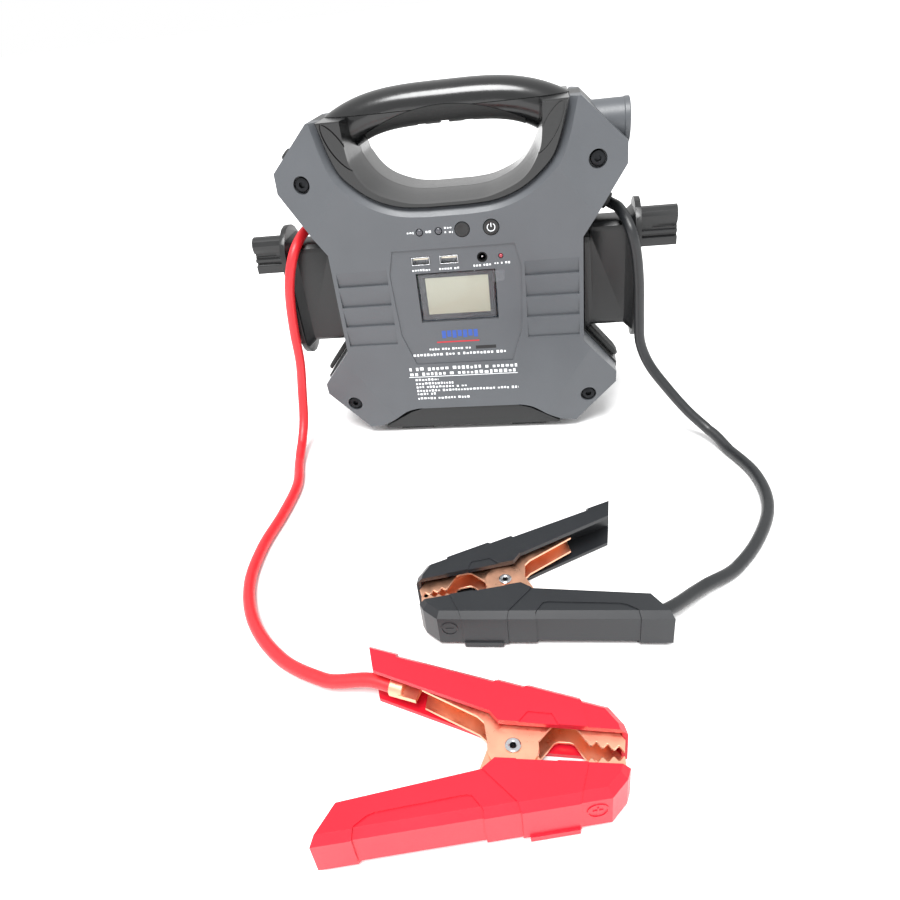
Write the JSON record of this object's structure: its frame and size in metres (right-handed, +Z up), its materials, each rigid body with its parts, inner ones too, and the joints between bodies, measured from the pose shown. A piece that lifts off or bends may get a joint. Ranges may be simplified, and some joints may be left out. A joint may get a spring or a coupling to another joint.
{
  "type": "jump starter pack",
  "caption": "X-shaped handheld jump starter with a carry handle, display, USB and DC ports, side lamp, cable brackets and two booster clamps on cables.",
  "frame": {"origin": "on the surface that the feet stand on, under the middle of the pack without its cables and clamps", "axes": "+X to the right seen from the front, -Y out of the front face, +Z up"},
  "size_m": [0.3624, 0.4105, 0.2536],
  "materials": {
    "grey_abs": "moulded ABS, fine satin",
    "black_plastic": "moulded, satin",
    "gloss_black": "smooth moulded, glossy",
    "clamp_black_plastic": "moulded, semi-gloss",
    "red_plastic": "moulded, semi-gloss",
    "rubber": "matt",
    "red_cable_jacket": "soft PVC, satin",
    "black_cable_jacket": "soft PVC, satin",
    "steel": "nickel plated",
    "black_steel": "black oxide",
    "copper": "copper plated sheet, bright",
    "reflector": "vacuum metallised",
    "cream_plastic": "moulded",
    "lcd": "segment display in a black frame",
    "window": "polished, clear",
    "film": "thin clear film",
    "smoked_lens": "frosted",
    "red_lens": "tinted",
    "battery_wrap": "shrink wrap",
    "circuit_board": "solder mask"
  },
  "bodies": {
    "root": {"front_shell": "grey_abs", "rear_shell": "grey_abs", "mid_frame": "black_plastic", "flank_pad_left": "rubber", "flank_pad_right": "rubber", "handle_front": "gloss_black", "handle_rear": "gloss_black", "handle_grip": "rubber", "case_screw_top_left": "black_steel", "case_screw_top_right": "black_steel", "case_screw_bottom_left": "black_steel", "case_screw_bottom_right": "black_steel", "foot_front_left": "rubber", "foot_front_right": "rubber", "foot_rear_left": "rubber", "foot_rear_right": "rubber", "bracket_left": "black_plastic", "bracket_right": "black_plastic", "display_lens": "window", "screen_film": "film", "lcd_module": "lcd", "usb_shell_1": "steel", "usb_shell_2": "steel", "usb_tongue_1": "cream_plastic", "usb_tongue_2": "cream_plastic", "dc_jack": "black_plastic", "led_12v": "smoked_lens", "led_24v": "smoked_lens", "led_reverse": "red_lens", "light_housing": "grey_abs", "light_reflector": "reflector", "light_lens": "window", "light_emitter": "cream_plastic", "battery_pack": "battery_wrap", "control_board": "circuit_board", "gland_red": "rubber", "gland_black": "rubber", "red_cable": "red_cable_jacket", "black_cable": "black_cable_jacket", "red_clamp_cover_cable_half": "red_plastic", "red_clamp_jaw_cable_half": "copper", "red_clamp_rivet": "steel", "red_clamp_spring": "steel", "red_clamp_cable_lug": "copper", "black_clamp_cover_cable_half": "clamp_black_plastic", "black_clamp_jaw_cable_half": "copper", "black_clamp_rivet": "steel", "black_clamp_spring": "steel", "black_clamp_cable_lug": "copper"},
    "power_key": {"power_button": "gloss_black"},
    "override_key": {"override_button": "black_plastic"},
    "light_key": {"light_button": "rubber"},
    "red_clamp_free_half": {"red_clamp_cover_free_half": "red_plastic", "red_clamp_jaw_free_half": "copper"},
    "black_clamp_free_half": {"black_clamp_cover_free_half": "clamp_black_plastic", "black_clamp_jaw_free_half": "copper"}
  },
  "joints": [
    {"name": "power_press", "type": "slide", "parent": "root", "child": "power_key", "axis": [0, 1, 0], "range_m": [0, 0.0012], "stiffness_N_per_m": 1200},
    {"name": "override_press", "type": "slide", "parent": "root", "child": "override_key", "axis": [0, 1, 0], "range_m": [0, 0.0012], "stiffness_N_per_m": 1200},
    {"name": "light_press", "type": "slide", "parent": "root", "child": "light_key", "axis": [0.7035, 0, -0.7107], "range_m": [0, 0.002], "stiffness_N_per_m": 1200},
    {"name": "red_clamp_open", "type": "hinge", "parent": "root", "child": "red_clamp_free_half", "pos_m": [0.0443, -0.3281, 0.012], "axis": [0, 0, -1], "range_deg": [0, 32], "stiffness_Nm_per_rad": 1.2, "springref_deg": -28.65},
    {"name": "black_clamp_open", "type": "hinge", "parent": "root", "child": "black_clamp_free_half", "pos_m": [0.0365, -0.2239, 0.012], "axis": [0, 0, -1], "range_deg": [0, 32], "stiffness_Nm_per_rad": 1.2, "springref_deg": -28.65}
  ]
}
